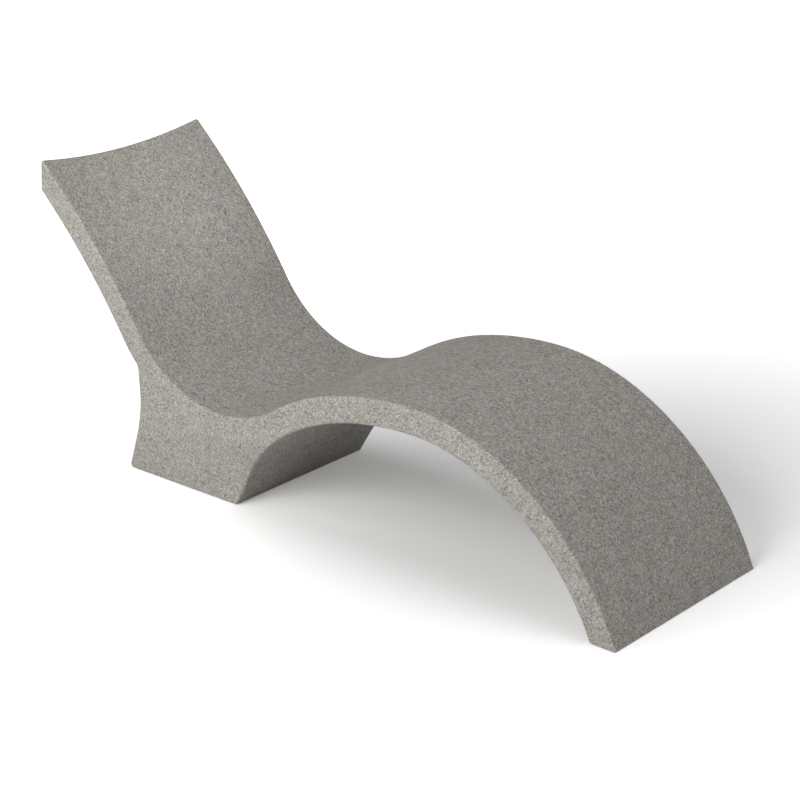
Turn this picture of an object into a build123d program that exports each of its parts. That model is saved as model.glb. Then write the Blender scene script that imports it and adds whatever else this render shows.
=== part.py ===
from build123d import *
from math import acos, asin, atan, copysign, cos, degrees, pi, radians, sin, sqrt, tan
import os

# A pool chaise longue: one hollow moulded shell that is filled with water through screw plugs.
# Millimetres and degrees. +X runs from the head to the foot and +Z up, and the origin is on the floor
# under the middle of the chair.

# Lying surface, seen from the side: tangent arcs from the head to the foot
head_reach = 916.1          # top edge of the back, behind the origin
head_height = 814.0         # top edge of the back, over the floor
back_slope = 42.4           # below level, at the top of the back
back_radius = 1920.0        # the back swells gently towards the sitter
back_turn = 15.3
seat_radius = 344.0         # hollow of the seat
seat_turn = 90.0
thigh_radius = 738.0
thigh_turn = 19.9
knee_radius = 952.0         # flat crown under the knees
knee_turn = 11.9
calf_radius = 601.0
calf_turn = 26.6
foot_radius = 684.0         # runs down to the floor

# Slab and shell
seat_width = 560.0
slab_thickness = 69.0
wall = 6.5
edge_radius = 6.0
head_lean = 8.0             # the end face of the back leans this far from upright
head_corner_radius = 4.0

# Hollow across the back
dish_depth = 18.0           # at the head, in the middle
dish_rim = 4.0              # flat rim between the hollow and the rounded edge
dish_seat_turn = 34.0       # the hollow runs out this far along the seat's arc

# Pedestal base under the seat
base_neck_setback = 297.5   # upright top of the rear wall, behind the lowest place of the seat
base_rear_turn = 28.5
base_front_start = 25.9     # slope of the slab where the front wall leaves it
base_front_slope = 55.1
base_floor_width = 476.0
neck_corner_radius = 18.0
floor_corner_radius = 10.0
# Heights over the floor, of the height where the rear wall or the front wall begins
rear_bend_shares = (0.767, 0.4055)  # bend of the rear wall, its top and its end
front_bend_share = 0.4436           # end of the front wall's bend
crease_share = 0.6185               # the sides lean inwards below this height of the rear wall

# Where the three ports are
fill_port_reach = 125.0     # from the top of the back, along its rear face
base_drain_height = 64.0
leg_drain_height = 84.0

# Screw thread of the plugs
thread_pitch = 4.5
thread_turns = 3
thread_tail = 2.0           # plain end below the last turn
thread_core_radius = 18.0
thread_height = 2.2
thread_root = 3.0           # width of the ridge at the core
thread_crest = 1.2
thread_sink = 0.5           # the ridge is rooted this deep in the core
thread_clearance = 0.35

# Ports: a round pocket in the shell, and in its floor a threaded insert that the shell is moulded round
pocket_radius = 42.0
pocket_depth = 16.0
pocket_edge_radius = 3.0
insert_width = 64.0         # across the flats
insert_sides = 8
collar_width = 72.0         # keeps the insert from pulling out
collar_length = 5.0

# Plugs and their seals
seal_thickness = 3.0
seal_radius = 26.0
plug_head_radius = 29.0
plug_head_thickness = 6.0
plug_head_chamfer = 1.2
grip_length = 44.0
grip_width = 11.0
grip_height = 6.0
grip_rounding = 2.0

# Cutting tools reach this far past what they cut
overrun = 20.0
# Places closer than this are the same place
match = 0.01

half_width = seat_width / 2
insert_length = thread_pitch * (thread_turns + 1) + thread_tail
insert_end = -pocket_depth - insert_length
surface_chain = [
    (-back_radius, back_turn),
    (seat_radius, seat_turn),
    (-thigh_radius, thigh_turn),
    (-knee_radius, knee_turn),
    (-calf_radius, calf_turn),
    (-foot_radius, calf_turn),
]


def normal(heading):
    """Unit vector square to a heading, on its left: the sitter's side of the lying surface."""
    return Vector(-sin(radians(heading)), cos(radians(heading)))


def surface_arcs():
    """Centre, signed radius and first and last heading of each arc of the lying surface."""
    arcs = []
    point = Vector(-head_reach, head_height)
    heading = -back_slope
    for radius, turn in surface_chain:
        centre = point + normal(heading) * radius
        last = heading + copysign(turn, radius)
        arcs.append((centre, radius, heading, last))
        point = centre - normal(last) * radius
        heading = last
    return arcs


back, seat, thigh, knee, calf, foot = surface_arcs()


def on_arc(arc, heading, depth):
    """Point of an arc at a heading, moved down into the slab by a depth."""
    return arc[0] - normal(heading) * (arc[1] + depth)


def arc_edge(arc, first, last, depth):
    """Edge along an arc between two headings."""
    return ThreePointArc(on_arc(arc, first, depth), on_arc(arc, (first + last) / 2, depth), on_arc(arc, last, depth))


def heading_at_height(arc, depth, height):
    """Heading at which a falling arc passes a height."""
    return -degrees(acos((arc[0].Y - height) / (arc[1] + depth)))


front_corner = on_arc(thigh, base_front_start, slab_thickness)
front_fall = front_corner.Y * (1 - front_bend_share)
front_radius = front_fall / (cos(radians(base_front_start)) - cos(radians(base_front_slope)))
front = (front_corner - normal(base_front_start) * front_radius, -front_radius)
neck_height = seat[0].Y - sqrt((seat[1] + slab_thickness) ** 2 - base_neck_setback ** 2)
rear_fall = neck_height * (rear_bend_shares[0] - rear_bend_shares[1])
rear_radius = rear_fall / sin(radians(base_rear_turn))
rear = (Vector(seat[0].X - base_neck_setback - rear_radius, neck_height * rear_bend_shares[0]), -rear_radius)
rear_low_heading = -90 - base_rear_turn
crease_height = neck_height * crease_share
side_lean = degrees(atan((half_width - base_floor_width / 2) / crease_height))


def down_to(point, heading, height):
    """Point where a straight wall along a heading comes down to a height."""
    fall = (point.Y - height) / sin(radians(heading))
    return point - Vector(cos(radians(heading)), sin(radians(heading))) * fall


def front_foot(inset):
    """Where the base's front wall meets the floor."""
    return down_to(on_arc(front, base_front_slope, -inset), base_front_slope, inset)


def rear_foot(inset):
    """Where the base's rear wall meets the floor."""
    return down_to(on_arc(rear, rear_low_heading, -inset), rear_low_heading, inset)


def neck_heading(inset):
    """Heading of the slab where the base's upright rear wall meets it."""
    wall_place = on_arc(rear, -90, -inset).X
    return degrees(asin((wall_place - seat[0].X) / (seat[1] + slab_thickness - inset)))


def side_outline(inset):
    """Side view of the shell, moved inwards by an inset, with its head left long for the end cut."""
    under = slab_thickness - inset
    start = back[2] + degrees(overrun / back_radius)
    top_end = heading_at_height(foot, inset, inset)
    under_end = heading_at_height(foot, under, inset)
    neck = neck_heading(inset)
    edges = [
        arc_edge(back, start, back[3], inset),
        arc_edge(seat, seat[2], seat[3], inset),
        arc_edge(thigh, thigh[2], thigh[3], inset),
        arc_edge(knee, knee[2], knee[3], inset),
        arc_edge(calf, calf[2], calf[3], inset),
        arc_edge(foot, foot[2], top_end, inset),
        Line(on_arc(foot, top_end, inset), on_arc(foot, under_end, under)),
        arc_edge(foot, under_end, foot[2], under),
        arc_edge(calf, calf[3], calf[2], under),
        arc_edge(knee, knee[3], knee[2], under),
        arc_edge(thigh, thigh[3], base_front_start, under),
        arc_edge(front, base_front_start, base_front_slope, -inset),
        Line(on_arc(front, base_front_slope, -inset), front_foot(inset)),
        Line(front_foot(inset), rear_foot(inset)),
        Line(rear_foot(inset), on_arc(rear, rear_low_heading, -inset)),
        arc_edge(rear, rear_low_heading, -90, -inset),
        Line(on_arc(rear, -90, -inset), on_arc(seat, neck, under)),
        arc_edge(seat, neck, seat[2], under),
        arc_edge(back, back[3], start, under),
        Line(on_arc(back, start, under), on_arc(back, start, inset)),
    ]
    return make_face(edges)


def head_cut(inset):
    """Area beyond the end face of the back."""
    down = -Vector(sin(radians(head_lean)), cos(radians(head_lean)))
    out = Vector(down.Y, -down.X)
    top = Vector(-head_reach, head_height) - out * inset
    high = top - down * overrun * 2
    low = top + down * slab_thickness * 2
    return make_face(Polyline(high, low, low + out * slab_thickness, high + out * slab_thickness, close=True))


def side_cuts(inset):
    """Wedges that lean the base's two sides inwards towards the floor."""
    slope = tan(radians(side_lean))
    foot_place = base_floor_width / 2 - inset / cos(radians(side_lean))
    rise = crease_height + overrun
    far = half_width + overrun * 2
    low = (foot_place - overrun * slope, -overrun)
    high = (foot_place + rise * slope, rise)
    section = make_face(Polyline(low, high, (far, rise), (far, -overrun), close=True))
    wedge = extrude(Plane.YZ * section, amount=-head_reach)
    return wedge + mirror(wedge, about=Plane.XZ)


def dish_tool(inset):
    """Solid that cuts the hollow across the back: turned down about a line in the seat, most in the middle."""
    run_out = seat[2] + dish_seat_turn
    hinge = on_arc(seat, run_out, inset)
    start = back[2] + degrees(overrun / back_radius)
    lift = normal(back[3]) * overrun * 3
    head = on_arc(back, start, inset)
    outline = make_face([
        arc_edge(back, start, back[3], inset),
        arc_edge(seat, seat[2], run_out, inset),
        Line(hinge, hinge + lift),
        Line(hinge + lift, head + lift),
        Line(head + lift, head),
    ])
    span = (head - hinge).length
    rim = half_width - edge_radius - dish_rim
    sections = []
    for share in (-1.0, -0.5, 0.0, 0.5, 1.0):
        depth = dish_depth * (1 - share ** 2)
        turned = outline.rotate(Axis((hinge.X, hinge.Y, 0), (0, 0, 1)), degrees(depth / span))
        sections.append(Plane.XZ.offset(share * rim) * turned)
    return loft(sections)


def outside_form():
    """The outside of the shell, with its corners and its long edges rounded."""
    outline = side_outline(0) - head_cut(0)
    under_head = outline.vertices().sort_by(Axis.X)[0]
    outline = fillet(under_head, head_corner_radius)
    for corner, radius in (
        (Vector(-head_reach, head_height), head_corner_radius),
        (on_arc(seat, neck_heading(0), slab_thickness), neck_corner_radius),
        (rear_foot(0), floor_corner_radius),
        (front_foot(0), floor_corner_radius),
    ):
        outline = fillet(outline.vertices().sort_by_distance(corner)[0], radius)
    form = extrude(Plane.XZ * outline, amount=half_width, both=True)
    side_edges = form.edges().filter_by(lambda edge: abs(abs(edge.center().Y) - half_width) < match)
    return fillet(side_edges, edge_radius) - side_cuts(0) - dish_tool(0)


def inside_form():
    """The hollow inside the shell, before the port bosses."""
    form = extrude(Plane.XZ * (side_outline(wall) - head_cut(wall)), amount=half_width - wall, both=True)
    return form - side_cuts(wall) - dish_tool(wall)


def port_plane(place, out):
    """Plane on the shell at a port, its normal pointing out of the shell."""
    return Plane(origin=(place.X, 0, place.Y), x_dir=(0, 1, 0), z_dir=(out.X, 0, out.Y))


def port_planes():
    """The three ports: in the rear of the back, low in the rear of the base, and low inside the leg."""
    fill_heading = back[2] - degrees(fill_port_reach / (back_radius - slab_thickness))
    leg_heading = heading_at_height(foot, slab_thickness, leg_drain_height)
    rear_low = on_arc(rear, rear_low_heading, 0)
    return {
        "fill": port_plane(on_arc(back, fill_heading, slab_thickness), -normal(fill_heading)),
        "base_drain": port_plane(
            down_to(rear_low, rear_low_heading, base_drain_height), -normal(rear_low_heading)
        ),
        "leg_drain": port_plane(on_arc(foot, leg_heading, slab_thickness), -normal(leg_heading)),
    }


def disc(radius, top, bottom):
    """Round block on a port's axis, between two heights over the shell's face."""
    return Pos(0, 0, top) * Cylinder(radius, top - bottom, align=(Align.CENTER, Align.CENTER, Align.MAX))


def many_sided(width, top, bottom):
    """Block with flats on a port's axis, between two heights."""
    section = RegularPolygon(width / 2, insert_sides, major_radius=False)
    return extrude(Pos(0, 0, bottom) * section, amount=top - bottom)


def insert_block():
    """Outside of an insert, which the shell's cavity for it copies."""
    collar_top = -pocket_depth - (insert_length - collar_length) / 2
    block = many_sided(insert_width, -pocket_depth, insert_end)
    return block + many_sided(collar_width, collar_top, collar_top - collar_length)


def port_boss():
    """The shell's own plastic round a port, on the inside."""
    collar_reach = collar_width / 2 / cos(pi / insert_sides)
    cup = disc(pocket_radius + wall, 0, -pocket_depth - wall)
    return cup + disc(collar_reach + wall, 0, insert_end)


def thread_ridge(clearance, first_turn, turns):
    """Ridge of the screw thread on a port's axis, grown on every side by a clearance."""
    start = -pocket_depth - thread_pitch * first_turn
    path = Pos(0, 0, start) * Helix(thread_pitch, thread_pitch * turns, thread_core_radius)
    root = thread_root / 2 + clearance
    crest = thread_crest / 2 + clearance
    height = thread_height + clearance
    section = make_face(
        Polyline((-thread_sink, -root), (height, -crest), (height, crest), (-thread_sink, root), close=True)
    )
    across = Plane(origin=path @ 0, x_dir=(1, 0, 0), z_dir=path % 0)
    return sweep(across * section, path=path, is_frenet=True)


def threaded_insert():
    """Threaded ring that the shell is moulded round."""
    bore = disc(thread_core_radius + thread_clearance, overrun, insert_end - overrun)
    return insert_block() - (bore + thread_ridge(thread_clearance, thread_turns + 2, thread_turns + 3))


def screw_plug():
    """Plug with a round head, a grip bar across it and a screw thread."""
    head_bottom = -pocket_depth + seal_thickness
    head_top = head_bottom + plug_head_thickness
    head = disc(plug_head_radius, head_top, head_bottom)
    head = chamfer(head.edges().group_by(Axis.Z)[-1], plug_head_chamfer)
    grip = Pos(0, 0, head_top) * Box(
        grip_length, grip_width, grip_height, align=(Align.CENTER, Align.CENTER, Align.MIN)
    )
    grip = fillet(grip.faces().sort_by(Axis.Z)[-1].edges() + grip.edges().filter_by(Axis.Z), grip_rounding)
    shank = disc(thread_core_radius, head_bottom, insert_end)
    return head + grip + shank + thread_ridge(0, thread_turns + 1, thread_turns)


def plug_seal():
    """Flat rubber ring under a plug's head."""
    top = -pocket_depth + seal_thickness
    return disc(seal_radius, top, -pocket_depth) - disc(thread_core_radius + thread_clearance, overrun, -overrun * 2)


def on_rim(plane, edge):
    """Whether an edge is part of the rim where a port's pocket opens in the shell's face."""
    middle = plane.to_local_coords(edge @ 0.5)
    return abs(sqrt(middle.X ** 2 + middle.Y ** 2) - pocket_radius) < match and middle.Z > -pocket_edge_radius


def body_shell(planes):
    """The hollow moulded shell, with a pocket, a boss and an insert's cavity at each port."""
    inside = inside_form()
    outside = outside_form()
    for plane in planes:
        inside = inside - plane * port_boss()
    shell = outside - inside
    for plane in planes:
        shell = shell - plane * (disc(pocket_radius, overrun, -pocket_depth) + insert_block())
    rims = [edge for plane in planes for edge in shell.edges() if on_rim(plane, edge)]
    return fillet(rims, pocket_edge_radius)


def export_piece(shape, node):
    """Write one piece to its own file."""
    shape.label = node
    export_step(shape, "parts/" + node + ".step")


os.makedirs("parts", exist_ok=True)
ports = port_planes()
export_piece(body_shell(list(ports.values())), "body_shell")
insert = threaded_insert()
plug = screw_plug()
seal = plug_seal()
for port, plane in ports.items():
    plug_node = "fill_plug" if port == "fill" else port + "_plug"
    export_piece(plane * insert, port + "_port_insert" if port == "fill" else port + "_insert")
    export_piece(plane * plug, plug_node)
    export_piece(plane * seal, plug_node + "_seal")
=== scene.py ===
from math import acos, asin, atan2, cos, degrees, exp, log, pi, radians, sin, sqrt

import bmesh
import bpy
from mathutils import Matrix, Quaternion, Vector


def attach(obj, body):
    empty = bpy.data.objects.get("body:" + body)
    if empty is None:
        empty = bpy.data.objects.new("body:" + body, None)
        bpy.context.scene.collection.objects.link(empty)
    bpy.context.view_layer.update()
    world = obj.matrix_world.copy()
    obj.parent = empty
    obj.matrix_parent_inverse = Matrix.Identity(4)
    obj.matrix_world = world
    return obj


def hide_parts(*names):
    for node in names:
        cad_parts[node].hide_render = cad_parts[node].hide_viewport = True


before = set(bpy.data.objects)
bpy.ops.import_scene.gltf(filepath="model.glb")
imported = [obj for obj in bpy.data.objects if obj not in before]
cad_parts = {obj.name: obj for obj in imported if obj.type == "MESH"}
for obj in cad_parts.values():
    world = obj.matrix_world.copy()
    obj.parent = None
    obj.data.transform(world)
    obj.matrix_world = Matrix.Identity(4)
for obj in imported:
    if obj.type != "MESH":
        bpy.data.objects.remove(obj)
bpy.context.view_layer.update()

scene = bpy.context.scene
scene.view_settings.view_transform = "Standard"


# Camera.
# Stands off the near side towards the foot and looks down on the chair, at the photograph's angle,
# through a long lens that keeps the chair's edges nearly parallel.
camera_azimuth, camera_height, camera_roll = radians(41.465), radians(21.231), radians(-0.916)
view_middle, view_distance = Vector((0.0595, 0.0, 0.3026)), 5.587
sensor_width, lens_length, view_end = 36.0, 101.44, 50.0

camera_data = bpy.data.cameras.new("camera")
camera_data.sensor_width = sensor_width
camera_data.lens = lens_length
camera_data.clip_end = view_end
camera = bpy.data.objects.new("camera", camera_data)
scene.collection.objects.link(camera)
scene.camera = camera
towards_camera = Vector((
    sin(camera_azimuth) * cos(camera_height),
    -cos(camera_azimuth) * cos(camera_height),
    sin(camera_height),
))
camera.location = view_middle + towards_camera * view_distance
camera.rotation_mode = "QUATERNION"
camera.rotation_quaternion = (-towards_camera).to_track_quat("-Z", "Y") @ Quaternion((0, 0, 1), camera_roll)


# Floor.
# A white studio floor that runs out of the picture on all sides. It keeps the chair's shadow, and it
# carries painted light: seen by the camera and in reflections it glows, more the further it lies from a
# place under the chair, which lightens the shadow's outer part and brings the floor further out to pure
# white.
floor_half_width = 40.0
floor_white, floor_seen_white = 0.80, 1.08
# the painted glow, which lightens the chair's shadow and the floor around it, rises from least to most
# between an inner and an outer distance from its place
painted_glow_place, painted_glow_squeeze = (0.38, 0.22, 0.0), (1.0, 0.73, 1.0)
painted_glow_inner, painted_glow_outer = 0.12, 2.12
painted_glow_least, painted_glow_most = 0.0, 0.88

floor_mesh = bmesh.new()
bmesh.ops.create_grid(floor_mesh, x_segments=1, y_segments=1, size=floor_half_width)
floor_data = bpy.data.meshes.new("floor")
floor_mesh.to_mesh(floor_data)
floor_mesh.free()
floor = bpy.data.objects.new("floor", floor_data)
scene.collection.objects.link(floor)

floor_paint = bpy.data.materials.new("floor_white")
floor_paint.use_nodes = True
floor_data.materials.append(floor_paint)
nodes, links = floor_paint.node_tree.nodes, floor_paint.node_tree.links
nodes.clear()
floor_output = nodes.new("ShaderNodeOutputMaterial")
floor_sum = nodes.new("ShaderNodeAddShader")
floor_diffuse = nodes.new("ShaderNodeBsdfDiffuse")
# painted light: the floor glows for the camera and in reflections, lightening the chair's shadow
floor_painted_light = nodes.new("ShaderNodeEmission")
floor_rays = nodes.new("ShaderNodeLightPath")
floor_colour = nodes.new("ShaderNodeMapRange")
floor_colour.inputs["To Min"].default_value = floor_white
floor_colour.inputs["To Max"].default_value = floor_seen_white
links.new(floor_rays.outputs["Is Camera Ray"], floor_colour.inputs["Value"])
links.new(floor_colour.outputs["Result"], floor_diffuse.inputs["Color"])
floor_place = nodes.new("ShaderNodeTexCoord")
floor_centred = nodes.new("ShaderNodeMapping")
floor_centred.inputs["Location"].default_value = tuple(-a * b for a, b in zip(painted_glow_place, painted_glow_squeeze))
floor_centred.inputs["Scale"].default_value = painted_glow_squeeze
floor_reach = nodes.new("ShaderNodeVectorMath")
floor_reach.operation = "LENGTH"
links.new(floor_place.outputs["Object"], floor_centred.inputs["Vector"])
links.new(floor_centred.outputs["Vector"], floor_reach.inputs[0])
# the painted glow grows with the distance from its place, so the shadow fades out to white
floor_painted_glow = nodes.new("ShaderNodeMapRange")
floor_painted_glow.interpolation_type = "SMOOTHSTEP"
for socket_name, level in (
    ("From Min", painted_glow_inner), ("From Max", painted_glow_outer), ("To Min", painted_glow_least), ("To Max", painted_glow_most),
):
    floor_painted_glow.inputs[socket_name].default_value = level
links.new(floor_reach.outputs["Value"], floor_painted_glow.inputs["Value"])
floor_seen = nodes.new("ShaderNodeMath")
floor_seen.operation = "MAXIMUM"
floor_strength = nodes.new("ShaderNodeMath")
floor_strength.operation = "MULTIPLY"
links.new(floor_rays.outputs["Is Camera Ray"], floor_seen.inputs[0])
links.new(floor_rays.outputs["Is Glossy Ray"], floor_seen.inputs[1])
links.new(floor_seen.outputs[0], floor_strength.inputs[0])
links.new(floor_painted_glow.outputs["Result"], floor_strength.inputs[1])
links.new(floor_strength.outputs[0], floor_painted_light.inputs["Strength"])
links.new(floor_diffuse.outputs[0], floor_sum.inputs[0])
links.new(floor_painted_light.outputs[0], floor_sum.inputs[1])
links.new(floor_sum.outputs[0], floor_output.inputs["Surface"])


# Studio light.
# Large soft lamps stand on the near side and overhead, with a weaker one past the foot and a narrow one
# on the back, inside a pale surround that shows as white behind the chair.
surround_light = 0.2
chair_middle, back_middle = (0.0, 0.0, 0.3), (-0.78, 0.0, 0.64)
# each lamp: its name, place, aim, width, spread in degrees and power
lamps = (
    ("key", (0.5, -4.5, 3.0), chair_middle, 2.6, 180, 125.0),
    ("left_key", (-2.2, -3.6, 3.6), chair_middle, 2.6, 180, 40.0),
    ("low_left", (-1.8, -4.2, 1.2), chair_middle, 2.4, 180, 47.0),
    ("top", (0.0, 0.0, 4.5), chair_middle, 3.0, 180, 37.0),
    ("foot_fill", (4.5, 0.5, 3.0), chair_middle, 3.0, 180, 45.0),
    ("back_light", (1.1, -0.5, 1.9), back_middle, 0.5, 24, 0.35),
)

world = bpy.data.worlds.new("studio")
scene.world = world
world.use_nodes = True
nodes, links = world.node_tree.nodes, world.node_tree.links
surround = nodes["Background"]
surround.inputs["Color"].default_value = (1, 1, 1, 1)
surround_rays = nodes.new("ShaderNodeLightPath")
surround_seen = nodes.new("ShaderNodeMath")
surround_seen.operation = "MAXIMUM"
surround_strength = nodes.new("ShaderNodeMapRange")
surround_strength.inputs["To Min"].default_value = surround_light
surround_strength.inputs["To Max"].default_value = 1.0
links.new(surround_rays.outputs["Is Camera Ray"], surround_seen.inputs[0])
links.new(surround_rays.outputs["Is Transmission Ray"], surround_seen.inputs[1])
links.new(surround_seen.outputs[0], surround_strength.inputs["Value"])
links.new(surround_strength.outputs[0], surround.inputs["Strength"])

for lamp_name, lamp_place, lamp_aim, lamp_size, lamp_spread, lamp_power in lamps:
    lamp_data = bpy.data.lights.new(lamp_name, "AREA")
    lamp_data.shape = "DISK"
    lamp_data.size = lamp_size
    lamp_data.spread = radians(lamp_spread)
    lamp_data.energy = lamp_power
    lamp = bpy.data.objects.new(lamp_name, lamp_data)
    scene.collection.objects.link(lamp)
    lamp.location = lamp_place
    lamp.rotation_mode = "QUATERNION"
    lamp.rotation_quaternion = (Vector(lamp_aim) - lamp.location).to_track_quat("-Z", "Y")


# Body shell.
# The whole chair is one hollow moulding of speckled polyethylene with a wall of 6.5 mm. A slab runs in
# a wave from head to foot, and a pedestal under the seat belongs to the same skin. The back is hollowed
# across its width, and every edge comes off the mould rounded.
# the lying surface from the head to the foot, as tangent arcs: each one's radius and turn in degrees
head_point, head_slope, head_lean = Vector((-0.9161, 0, 0.8140)), -42.4, 8.0
lying_arcs = (
    ("back", -1.920, 15.3), ("seat", 0.344, 90.0), ("thigh", -0.738, 19.9),
    ("knee", -0.952, 11.9), ("calf", -0.601, 26.6), ("foot", -0.684, 26.6),
)
# the slab, the strip of its side next to each edge, and the hollow across the back
half_width, slab_depth, side_draft = 0.280, 0.069, 0.03
edge_strip, rim_place = 0.009, 0.270
dish_depth, dish_run_out = 0.018, -23.7
# the base: its walls' bends as shares of heights, the crease in its sides, and the sides' lean and flare
neck_setback, neck_radius, floor_radius = 0.2975, 0.018, 0.010
rear_bend_shares, rear_turn = (0.767, 0.4055), 28.5
front_bend_share, front_top_slope, front_split_slope, front_low_slope = 0.2565, 25.9, 36.4, 59.2
crease_share, base_half_floor, base_blend = 0.6185, 0.238, 0.0015
flare_start, flare_full, flare_power = -0.45, -0.30, 2.3
# the ports' places and the rounding of the edges
fill_port_reach, base_drain_height, leg_drain_height = 0.125, 0.064, 0.084
edge_radius, foot_radius, head_low_radius, widest_rounding = 0.006, 0.0025, 0.0021, 0.0084
rounding_steps = 4


def normal(slope):
    """Unit vector square to a slope, on the sitter's side."""
    return Vector((-sin(radians(slope)), 0, cos(radians(slope))))


def on_arc(arc, slope, depth=0.0):
    """Point of an arc at a slope, sunk into the chair by a depth."""
    centre, radius = arc
    return centre - normal(slope) * (radius + depth)


def down_to(point, slope, height):
    """Point where a straight wall comes down to a height."""
    fall = (point.z - height) / sin(radians(slope))
    return point - Vector((cos(radians(slope)), 0, sin(radians(slope)))) * fall


def slope_at_height(arc, depth, height):
    """Slope at which a falling arc passes a height."""
    return -degrees(acos((arc[0].z - height) / (arc[1] + depth)))


arcs, arc_ends = [], []
arc_start, arc_slope = head_point, head_slope
for _, arc_radius, arc_turn in lying_arcs:
    arcs.append((arc_start + normal(arc_slope) * arc_radius, arc_radius))
    arc_slope += arc_turn if arc_radius > 0 else -arc_turn
    arc_start = on_arc(arcs[-1], arc_slope)
    arc_ends.append(arc_slope)
back, seat, thigh, knee, calf, foot = arcs
back_end, seat_end, thigh_end, knee_end, calf_end, _ = arc_ends

# the end of the back, its underside and the ports' places
head_down = Vector((-sin(radians(head_lean)), 0, -cos(radians(head_lean))))
head_arm = head_point - back[0]
under_radius = -back[1] - slab_depth
head_reach = -head_arm.dot(head_down)
head_fall = head_reach - sqrt(head_reach ** 2 - head_arm.length_squared + under_radius ** 2)
head_under = head_point + head_down * head_fall
head_under_slope = -degrees(asin((head_under - back[0]).x / under_radius))
fill_slope = head_slope - degrees(fill_port_reach / under_radius)
leg_slope = slope_at_height(foot, slab_depth, leg_drain_height)
foot_slope = slope_at_height(foot, 0, 0)
foot_under_slope = slope_at_height(foot, slab_depth, 0)

# the base's outline, from its neck down the rear wall, along the floor and up the front wall
seat_gap = seat[1] + slab_depth
neck_height = seat[0].z - sqrt(seat_gap ** 2 - neck_setback ** 2)
neck_side, neck_gap = neck_setback + neck_radius, seat_gap + neck_radius
neck = (seat[0] - Vector((neck_side, 0, sqrt(neck_gap ** 2 - neck_side ** 2))), -neck_radius)
neck_slope = -degrees(asin(neck_side / neck_gap))
rear_top, rear_end = (neck_height * share for share in rear_bend_shares)
rear_radius = (rear_top - rear_end) / sin(radians(rear_turn))
rear = (Vector((seat[0].x - neck_setback - rear_radius, 0, rear_top)), -rear_radius)
rear_low_slope = -90 - rear_turn
rear_low = on_arc(rear, rear_low_slope)
rear_inside = rear_low + normal(rear_low_slope) * floor_radius
rear_corner = (down_to(rear_inside, rear_low_slope, floor_radius), floor_radius)
drain_point = down_to(rear_low, rear_low_slope, base_drain_height)
front_top = on_arc(thigh, front_top_slope, slab_depth)
front_fall = front_top.z * (1 - front_bend_share)
front_radius = front_fall / (cos(radians(front_top_slope)) - cos(radians(front_low_slope)))
front = (front_top - normal(front_top_slope) * front_radius, -front_radius)
front_low = on_arc(front, front_low_slope)
front_inside = front_low + normal(front_low_slope) * floor_radius
front_corner = (down_to(front_inside, front_low_slope, floor_radius), floor_radius)
crease_height = neck_height * crease_share


def along(arc, first, last, depth=0.0):
    """Walk along an arc between two slopes."""
    return lambda share: on_arc(arc, first + (last - first) * share, depth)


def straight(first, last):
    """Walk along a straight wall."""
    return lambda share: first.lerp(last, share)


# each stretch: its steps, the walk along the lying surface, the walk along the underside or the base,
# and whether it belongs to the base, whose outline is shared out along the seat so that steps stay even
stretches = (
    (6, along(back, head_slope, fill_slope), along(back, head_under_slope, fill_slope, slab_depth), False),
    (27, along(back, fill_slope, back_end), along(back, fill_slope, back_end, slab_depth), False),
    (5, along(seat, back_end, neck_slope), along(seat, back_end, neck_slope, slab_depth), False),
    (4, along(seat, neck_slope, -46.0), along(neck, neck_slope, -90), True),
    (5, along(seat, -46.0, -43.2), straight(on_arc(neck, -90), on_arc(rear, -90)), True),
    (9, along(seat, -43.2, -38.5), along(rear, -90, rear_low_slope), True),
    (5, along(seat, -38.5, -35.6), straight(rear_low, drain_point), True),
    (4, along(seat, -35.6, -33.4), straight(drain_point, on_arc(rear_corner, rear_low_slope)), True),
    (6, along(seat, -33.4, -31.0), along(rear_corner, rear_low_slope, 0), True),
    (30, along(seat, -31.0, 3.6), straight(on_arc(rear_corner, 0), on_arc(front_corner, 0)), True),
    (4, along(seat, 3.6, 5.0), along(front_corner, 0, front_low_slope), True),
    (10, along(seat, 5.0, 16.0), straight(on_arc(front_corner, front_low_slope), front_low), True),
    (10, along(seat, 16.0, seat_end), along(front, front_low_slope, front_split_slope), True),
    (6, along(thigh, seat_end, front_top_slope), along(front, front_split_slope, front_top_slope), True),
    (
        13, along(thigh, front_top_slope, thigh_end),
        along(thigh, front_top_slope, thigh_end, slab_depth), False,
    ),
    (14, along(knee, thigh_end, knee_end), along(knee, thigh_end, knee_end, slab_depth), False),
    (20, along(calf, knee_end, calf_end), along(calf, knee_end, calf_end, slab_depth), False),
    (27, along(foot, calf_end, leg_slope), along(foot, calf_end, leg_slope, slab_depth), False),
    (7, along(foot, leg_slope, foot_slope), along(foot, leg_slope, foot_under_slope, slab_depth), False),
)
port_stretches = (1, 7, 18)
stations, port_stations = [], []
for stretch, (steps, top_walk, under_walk, in_base) in enumerate(stretches):
    if stretch in port_stretches:
        port_stations.append(len(stations))
    for step in range(steps):
        stations.append((top_walk(step / steps), under_walk(step / steps), in_base))
stations.append((top_walk(1), under_walk(1), in_base))
station_count, column_count, row_count = len(stations) - 1, 40, 56

dish_hinge = on_arc(seat, dish_run_out)
dish_span = (head_point - dish_hinge).length
dish_last_station = max(i for i, (top, _, _) in enumerate(stations) if top.x < dish_hinge.x)
widthwise = Vector((0, 1, 0))


def crease_at(x):
    """Height of the line where the base's side meets the slab's."""
    if x < seat[0].x:
        return crease_height
    if x < on_arc(seat, seat_end, slab_depth).x:
        centre, reach, side = seat[0], seat[1] + slab_depth, -1
    else:
        centre, reach, side = thigh[0], -thigh[1] - slab_depth, 1
    return centre.z + side * sqrt(reach ** 2 - (x - centre.x) ** 2)


def base_half(point):
    """Half the base's width at a point: its sides lean out, and towards the front they also flare."""
    forward = min(max((point.x - flare_start) / (flare_full - flare_start), 0), 1)
    power = 1 + (flare_power - 1) * forward ** 2 * (3 - 2 * forward)
    return base_half_floor + (half_width - base_half_floor) * max(point.z / crease_at(point.x), 0) ** power


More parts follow.
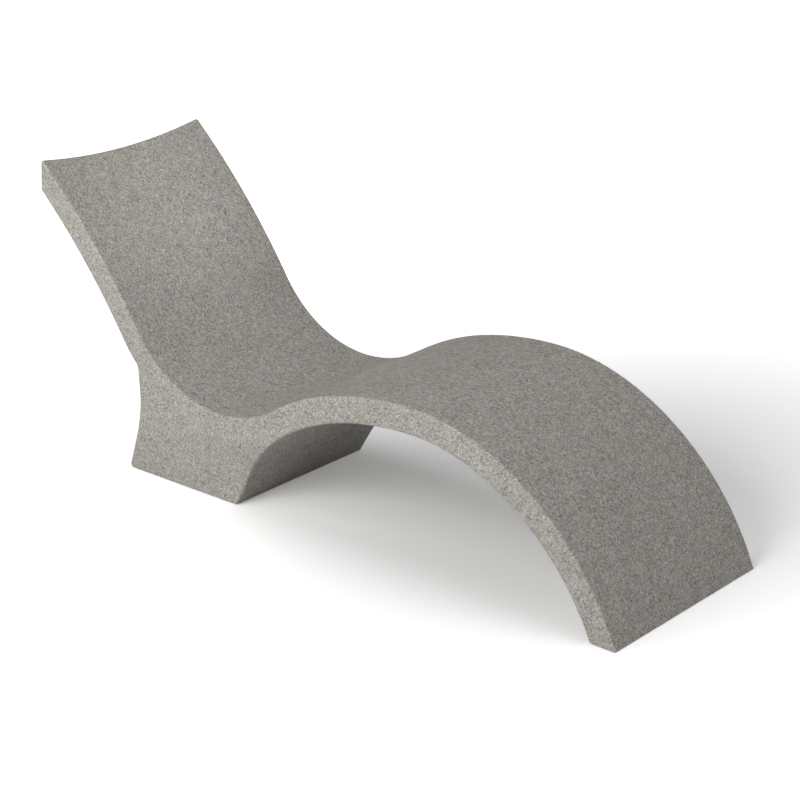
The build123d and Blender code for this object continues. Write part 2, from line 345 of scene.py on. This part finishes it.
def bent(station, column, row):
    """Where a point of the straight block comes to lie in the chair."""
    top, under, in_base = stations[station]
    ray = (under - top).normalized()
    down, up = ray, -ray
    if in_base:
        before, after = stations[station - 1], stations[station + 1]
        down = widthwise.cross(after[0] - before[0]).normalized()
        up = widthwise.cross(before[1] - after[1]).normalized()
    if row == 0:
        point = top.copy()
    elif row == row_count:
        point = under.copy()
    else:
        point = (top + down * edge_strip).lerp(under + up * edge_strip, (row - 1) / (row_count - 2))
    depth = (point - top).length
    half = half_width - side_draft * depth
    if in_base:
        half = -base_blend * log(exp(-half / base_blend) + exp(-base_half(point) / base_blend))
    across = abs(2 * column / column_count - 1)
    edge_share = rim_place / half_width
    across = 1.0 if across == 1 else across / (1 - 2 / column_count) * edge_share
    if station <= dish_last_station:
        hollow = dish_depth * (top - dish_hinge).length / dish_span * (1 - min(across / edge_share, 1) ** 2)
        facing = ray.dot((top - dish_hinge).normalized())
        point += ray * hollow / sqrt(1 - facing ** 2) * (1 - depth / (under - top).length)
    point.y = half * across * (1 if 2 * column > column_count else -1)
    return point


# a cube, cut along each axis into stations, columns and rows: only its uncut edges are over half as long
shell_mesh = bmesh.new()
bmesh.ops.create_cube(shell_mesh, size=1.0)
for axis, pieces in enumerate((station_count, column_count, row_count)):
    split = [edge for edge in shell_mesh.edges if abs((edge.verts[0].co - edge.verts[1].co)[axis]) > 0.5]
    bmesh.ops.subdivide_edges(shell_mesh, edges=split, cuts=pieces - 1, use_grid_fill=True)


def block_place(vertex):
    """Station, column and row of a point of the straight block."""
    return (
        round((vertex.co.x + 0.5) * station_count),
        round((vertex.co.y + 0.5) * column_count),
        round((0.5 - vertex.co.z) * row_count),
    )


place_of = {vertex: block_place(vertex) for vertex in shell_mesh.verts}
rounding_share = shell_mesh.edges.layers.float.new("bevel_weight_edge")
for edge in shell_mesh.edges:
    (i0, j0, k0), (i1, j1, k1) = (place_of[vertex] for vertex in edge.verts)
    at_side = j0 == j1 and j0 in (0, column_count)
    at_face = k0 == k1 and k0 in (0, row_count)
    at_head = i0 == i1 == 0
    at_foot = i0 == i1 == station_count
    if at_side and (at_face or at_head):
        edge[rounding_share] = edge_radius / widest_rounding
    elif at_head and at_face:
        edge[rounding_share] = 1.0 if k0 == 0 else head_low_radius / widest_rounding
    elif at_foot and (at_side or at_face):
        edge[rounding_share] = foot_radius / widest_rounding

for vertex in shell_mesh.verts:
    vertex.co = bent(*place_of[vertex])

# Ports in the shell.
# Three round pockets with a softened mouth, in the rear of the back, low in the rear of the base and
# low inside the leg. The floor of each has the eight-sided cavity of its moulded-in insert.
mouth_radius, mouth_rounding, mouth_steps = 0.042, 0.003, 4
pocket_depth, pocket_corner, corner_steps = 0.016, 0.0015, 3
insert_half_width, collar_half_width, insert_sides = 0.032, 0.036, 8
insert_length, collar_length, insert_gap = 0.020, 0.005, 0.0001
# the skin is opened by this many cells each way from a port's middle, and the mouth gets a point for
# each corner along the hole's square edge
port_cells = 4
mouth_points = 8 * port_cells
# each port: its middle on the skin, the way out, and the radius of the skin's bend where it isn't flat
port_faces = (
    (on_arc(back, fill_slope, slab_depth), -normal(fill_slope), under_radius),
    (drain_point, -normal(rear_low_slope), None),
    (on_arc(foot, leg_slope, slab_depth), -normal(leg_slope), -foot[1] - slab_depth),
)


def sunk_ring(ring, port_frame, radius, height, sides=0):
    """Extrude a ring of edges and lay it at a radius and a height on the port's axis."""
    grown = bmesh.ops.extrude_edge_only(shell_mesh, edges=ring)["geom"]
    fresh = {item for item in grown if isinstance(item, bmesh.types.BMVert)}
    for vertex in fresh:
        local = port_frame.inverted() @ vertex.co
        turn = atan2(local.y, local.x)
        reach = radius
        if sides:
            off_flat = (turn + pi / sides) % (2 * pi / sides) - pi / sides
            reach = radius / cos(pi / sides - abs(off_flat))
        vertex.co = port_frame @ Vector((reach * cos(turn), reach * sin(turn), height))
    return [item for item in grown if isinstance(item, bmesh.types.BMEdge) and fresh.issuperset(item.verts)]


for port_station, (port_point, port_out, skin_radius) in zip(port_stations, port_faces):
    over_port = [
        vertex for vertex, (i, j, k) in place_of.items()
        if k == row_count and abs(i - port_station) < port_cells and abs(j - column_count // 2) < port_cells
    ]
    for vertex in over_port:
        del place_of[vertex]
    bmesh.ops.delete(shell_mesh, geom=over_port, context="VERTS")
    hole = [edge for edge in shell_mesh.edges if edge.is_boundary]
    port_frame = Matrix((widthwise, port_out.cross(widthwise), port_out)).transposed().to_4x4()
    port_frame.translation = port_point
    mouth = bmesh.ops.create_circle(
        shell_mesh, cap_ends=False, segments=mouth_points,
        radius=mouth_radius + mouth_rounding, matrix=port_frame,
    )["verts"]
    if skin_radius:
        for vertex in mouth:
            along_skin = (port_frame.inverted() @ vertex.co).y
            vertex.co += port_out * (skin_radius - sqrt(skin_radius ** 2 - along_skin ** 2))
    ring = [edge for edge in shell_mesh.edges if edge.is_wire]
    bmesh.ops.bridge_loops(shell_mesh, edges=hole + ring)
    for step in range(mouth_steps):
        angle = radians(90 * (step + 1) / mouth_steps)
        ring = sunk_ring(
            ring, port_frame,
            mouth_radius + mouth_rounding * (1 - sin(angle)), -mouth_rounding * (1 - cos(angle)),
        )
    ring = sunk_ring(ring, port_frame, mouth_radius, pocket_corner - pocket_depth)
    for step in range(corner_steps):
        angle = radians(90 * (step + 1) / corner_steps)
        ring = sunk_ring(
            ring, port_frame,
            mouth_radius - pocket_corner * (1 - cos(angle)),
            pocket_corner * (1 - sin(angle)) - pocket_depth,
        )
    collar_top = -pocket_depth - (insert_length - collar_length) / 2
    for flat, height in (
        (insert_half_width, -pocket_depth),
        (insert_half_width, collar_top + insert_gap),
        (collar_half_width, collar_top + insert_gap),
        (collar_half_width, collar_top - collar_length - insert_gap),
        (insert_half_width, collar_top - collar_length - insert_gap),
        (insert_half_width, -pocket_depth - insert_length - insert_gap),
    ):
        ring = sunk_ring(ring, port_frame, flat + insert_gap, height, insert_sides)
    bmesh.ops.edgenet_fill(shell_mesh, edges=ring)

bmesh.ops.recalc_face_normals(shell_mesh, faces=shell_mesh.faces)
for face in shell_mesh.faces:
    face.smooth = True
shell_data = bpy.data.meshes.new("shell")
shell_mesh.to_mesh(shell_data)
shell_mesh.free()
shell = bpy.data.objects.new("shell", shell_data)
scene.collection.objects.link(shell)
rounding = shell.modifiers.new("rounded_edges", "BEVEL")
rounding.limit_method = "WEIGHT"
rounding.width = widest_rounding
rounding.segments = rounding_steps
rounding.use_clamp_overlap = False
even_shading = shell.modifiers.new("even_shading", "WEIGHTED_NORMAL")
even_shading.weight = 50
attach(shell, "chaise")
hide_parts("body_shell")


pebble_detail, dust_detail = 3.0, 4.0
dust_fineness_share, dust_range = 0.12, (0.3, 0.7)


def moulded_skin():
    """Effect shared by all pieces: fine pebbles that the mould or tool leaves, and dust that dulls them."""
    skin = bpy.data.node_groups.new("moulded_skin", "ShaderNodeTree")
    for socket_name, socket_type in (("Place", "NodeSocketVector"), ("Fineness", "NodeSocketFloat")):
        skin.interface.new_socket(socket_name, in_out="INPUT", socket_type=socket_type)
    for socket_name in ("Height", "Dullness"):
        skin.interface.new_socket(socket_name, in_out="OUTPUT", socket_type="NodeSocketFloat")
    nodes, links = skin.nodes, skin.links
    given, made = nodes.new("NodeGroupInput"), nodes.new("NodeGroupOutput")
    pebbles, dust = nodes.new("ShaderNodeTexNoise"), nodes.new("ShaderNodeTexNoise")
    pebbles.inputs["Detail"].default_value = pebble_detail
    dust.inputs["Detail"].default_value = dust_detail
    broad = nodes.new("ShaderNodeMath")
    broad.operation = "MULTIPLY"
    broad.inputs[1].default_value = dust_fineness_share
    links.new(given.outputs["Fineness"], pebbles.inputs["Scale"])
    links.new(given.outputs["Fineness"], broad.inputs[0])
    links.new(broad.outputs[0], dust.inputs["Scale"])
    links.new(given.outputs["Place"], pebbles.inputs["Vector"])
    links.new(given.outputs["Place"], dust.inputs["Vector"])
    dullness = nodes.new("ShaderNodeMapRange")
    dullness.inputs["From Min"].default_value, dullness.inputs["From Max"].default_value = dust_range
    links.new(dust.outputs["Fac"], dullness.inputs["Value"])
    links.new(pebbles.outputs["Fac"], made.inputs["Height"])
    links.new(dullness.outputs["Result"], made.inputs["Dullness"])
    return skin


# Speckled polyethylene.
# Light, middle and dark granules of stone-coloured polyethylene melt together into grains about 4 mm
# across. Larger, faint patches run warmer or cooler, and the mould leaves a fine sandy skin.
stone_colour = (0.3225, 0.3110, 0.2862, 1)
# each size of grain: how fine it is, and how bright a share of the grains is
grain_fineness, fleck_fineness = 275.0, 470.0
grain_shades = ((0.0, 0.52), (0.22, 0.845), (0.5, 1.0), (0.8, 1.105), (1.0, 1.45))
fleck_shades = ((0.0, 0.78), (0.3, 0.98), (0.7, 1.02), (1.0, 1.26))
wander_fineness, wander_detail, wander_reach = 310.0, 1.0, 0.0042
mottle_fineness, mottle_detail, mottle_range = 26.0, 3.0, (0.88, 1.12)
warm_tint, cool_tint = (1.012, 1.008, 0.952, 1), (1.003, 0.974, 1.014, 1)
patch_fineness, patch_detail, patch_shift, patch_range = 38.0, 2.0, (3.1, 1.7, 5.3), (0.4, 0.6)
shell_skin_fineness, shell_dull_range = 420.0, (0.56, 0.70)
shell_bump_strength, shell_bump_height = 0.35, 0.0006
shell_ior, shell_specular = 1.5, 0.35

shell_paint = bpy.data.materials.new("speckled_polyethylene")
shell_paint.use_nodes = True
shell_data.materials.append(shell_paint)
nodes, links = shell_paint.node_tree.nodes, shell_paint.node_tree.links
plastic = nodes["Principled BSDF"]
place = nodes.new("ShaderNodeTexCoord")
wander = nodes.new("ShaderNodeTexNoise")
wander.inputs["Scale"].default_value = wander_fineness
wander.inputs["Detail"].default_value = wander_detail
wandered = nodes.new("ShaderNodeVectorMath")
wandered.operation = "MULTIPLY_ADD"
wandered.inputs[1].default_value = (wander_reach, wander_reach, wander_reach)
links.new(place.outputs["Object"], wander.inputs["Vector"])
links.new(wander.outputs["Color"], wandered.inputs[0])
links.new(place.outputs["Object"], wandered.inputs[2])


def shades(source, steps):
    """Turn a random value of each grain into how bright it is."""
    ramp = nodes.new("ShaderNodeValToRGB")
    ramp.color_ramp.elements[0].position, ramp.color_ramp.elements[-1].position = steps[0][0], steps[-1][0]
    for share, _ in steps[1:-1]:
        ramp.color_ramp.elements.new(share)
    brightest = max(level for _, level in steps)
    for element, (_, level) in zip(ramp.color_ramp.elements, steps):
        element.color = (level / brightest, level / brightest, level / brightest, 1)
    lift = nodes.new("ShaderNodeMath")
    lift.operation = "MULTIPLY"
    lift.inputs[1].default_value = brightest
    links.new(source, ramp.inputs["Fac"])
    links.new(ramp.outputs["Color"], lift.inputs[0])
    return lift.outputs[0]


def product(first, second):
    """Multiply two values."""
    node = nodes.new("ShaderNodeMath")
    node.operation = "MULTIPLY"
    links.new(first, node.inputs[0])
    links.new(second, node.inputs[1])
    return node.outputs[0]


levels = []
for fineness, steps in ((grain_fineness, grain_shades), (fleck_fineness, fleck_shades)):
    grains = nodes.new("ShaderNodeTexVoronoi")
    grains.inputs["Scale"].default_value = fineness
    links.new(wandered.outputs[0], grains.inputs["Vector"])
    split_random = nodes.new("ShaderNodeSeparateColor")
    links.new(grains.outputs["Color"], split_random.inputs[0])
    levels.append(shades(split_random.outputs[0], steps))
mottle = nodes.new("ShaderNodeTexNoise")
mottle.inputs["Scale"].default_value = mottle_fineness
mottle.inputs["Detail"].default_value = mottle_detail
links.new(place.outputs["Object"], mottle.inputs["Vector"])
mottle_level = nodes.new("ShaderNodeMapRange")
mottle_level.inputs["To Min"].default_value, mottle_level.inputs["To Max"].default_value = mottle_range
links.new(mottle.outputs["Fac"], mottle_level.inputs["Value"])
brightness = product(product(levels[0], levels[1]), mottle_level.outputs["Result"])

patches = nodes.new("ShaderNodeTexNoise")
patches.inputs["Scale"].default_value = patch_fineness
patches.inputs["Detail"].default_value = patch_detail
patch_place = nodes.new("ShaderNodeMapping")
patch_place.inputs["Location"].default_value = patch_shift
links.new(place.outputs["Object"], patch_place.inputs["Vector"])
links.new(patch_place.outputs["Vector"], patches.inputs["Vector"])
patch_spread = nodes.new("ShaderNodeMapRange")
patch_spread.inputs["From Min"].default_value, patch_spread.inputs["From Max"].default_value = patch_range
links.new(patches.outputs["Fac"], patch_spread.inputs["Value"])
tinted = nodes.new("ShaderNodeMix")
tinted.data_type = "RGBA"
tinted.inputs["A"].default_value = tuple(a * b for a, b in zip(stone_colour, warm_tint))
tinted.inputs["B"].default_value = tuple(a * b for a, b in zip(stone_colour, cool_tint))
links.new(patch_spread.outputs["Result"], tinted.inputs["Factor"])
coloured = nodes.new("ShaderNodeVectorMath")
coloured.operation = "SCALE"
links.new(tinted.outputs["Result"], coloured.inputs[0])
links.new(brightness, coloured.inputs["Scale"])
links.new(coloured.outputs[0], plastic.inputs["Base Color"])

skin = moulded_skin()
shell_skin = nodes.new("ShaderNodeGroup")
shell_skin.node_tree = skin
shell_skin.inputs["Fineness"].default_value = shell_skin_fineness
links.new(place.outputs["Object"], shell_skin.inputs["Place"])
shell_dull = nodes.new("ShaderNodeMapRange")
shell_dull.inputs["To Min"].default_value, shell_dull.inputs["To Max"].default_value = shell_dull_range
links.new(shell_skin.outputs["Dullness"], shell_dull.inputs["Value"])
links.new(shell_dull.outputs["Result"], plastic.inputs["Roughness"])
shell_bump = nodes.new("ShaderNodeBump")
shell_bump.inputs["Strength"].default_value = shell_bump_strength
shell_bump.inputs["Distance"].default_value = shell_bump_height
links.new(shell_skin.outputs["Height"], shell_bump.inputs["Height"])
links.new(shell_bump.outputs["Normal"], plastic.inputs["Normal"])
plastic.inputs["IOR"].default_value = shell_ior
plastic.inputs["Specular IOR Level"].default_value = shell_specular


# Plugs, seals and inserts.
# Each port is closed by a screw plug of dark grey moulded nylon with a raised grip. A black rubber ring
# seals it, and it screws into a turned brass insert that the shell was moulded round.
cloud_coarseness, cloud_detail, cloud_range = 12, 5.0, (0.35, 0.65)
fitting_bump_strength = 0.5
# each finish: its name, the end of its pieces' names, its deep and pale colour, its range of dullness,
# how fine and how high its unevenness is, and whether it is a metal
fittings = (
    (
        "moulded_nylon", "plug", (0.036, 0.037, 0.040), (0.058, 0.059, 0.062),
        (0.34, 0.52), 900.0, 0.0001, 0.0,
    ),
    (
        "seal_rubber", "plug_seal", (0.012, 0.012, 0.013), (0.026, 0.025, 0.024),
        (0.58, 0.78), 1300.0, 0.00008, 0.0,
    ),
    (
        "turned_brass", "insert", (0.46, 0.30, 0.13), (0.78, 0.57, 0.27),
        (0.26, 0.46), 1600.0, 0.00004, 1.0,
    ),
)
for paint_name, piece_end, deep_colour, pale_colour, dull_range, fineness, unevenness, metal in fittings:
    paint = bpy.data.materials.new(paint_name)
    paint.use_nodes = True
    nodes, links = paint.node_tree.nodes, paint.node_tree.links
    surface = nodes["Principled BSDF"]
    surface.inputs["Metallic"].default_value = metal
    place = nodes.new("ShaderNodeTexCoord")
    fine_skin = nodes.new("ShaderNodeGroup")
    fine_skin.node_tree = skin
    fine_skin.inputs["Fineness"].default_value = fineness
    links.new(place.outputs["Object"], fine_skin.inputs["Place"])
    clouds = nodes.new("ShaderNodeTexNoise")
    clouds.inputs["Scale"].default_value = fineness / cloud_coarseness
    clouds.inputs["Detail"].default_value = cloud_detail
    links.new(place.outputs["Object"], clouds.inputs["Vector"])
    cloud_share = nodes.new("ShaderNodeMapRange")
    cloud_share.inputs["From Min"].default_value, cloud_share.inputs["From Max"].default_value = cloud_range
    links.new(clouds.outputs["Fac"], cloud_share.inputs["Value"])
    tone = nodes.new("ShaderNodeMix")
    tone.data_type = "RGBA"
    tone.inputs["A"].default_value = (*deep_colour, 1)
    tone.inputs["B"].default_value = (*pale_colour, 1)
    links.new(cloud_share.outputs["Result"], tone.inputs["Factor"])
    links.new(tone.outputs["Result"], surface.inputs["Base Color"])
    dull = nodes.new("ShaderNodeMapRange")
    dull.inputs["To Min"].default_value, dull.inputs["To Max"].default_value = dull_range
    links.new(fine_skin.outputs["Dullness"], dull.inputs["Value"])
    links.new(dull.outputs["Result"], surface.inputs["Roughness"])
    bump = nodes.new("ShaderNodeBump")
    bump.inputs["Strength"].default_value = fitting_bump_strength
    bump.inputs["Distance"].default_value = unevenness
    links.new(fine_skin.outputs["Height"], bump.inputs["Height"])
    links.new(bump.outputs["Normal"], surface.inputs["Normal"])
    for node_name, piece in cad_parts.items():
        if node_name.endswith("_" + piece_end):
            piece.data.materials.clear()
            piece.data.materials.append(paint)
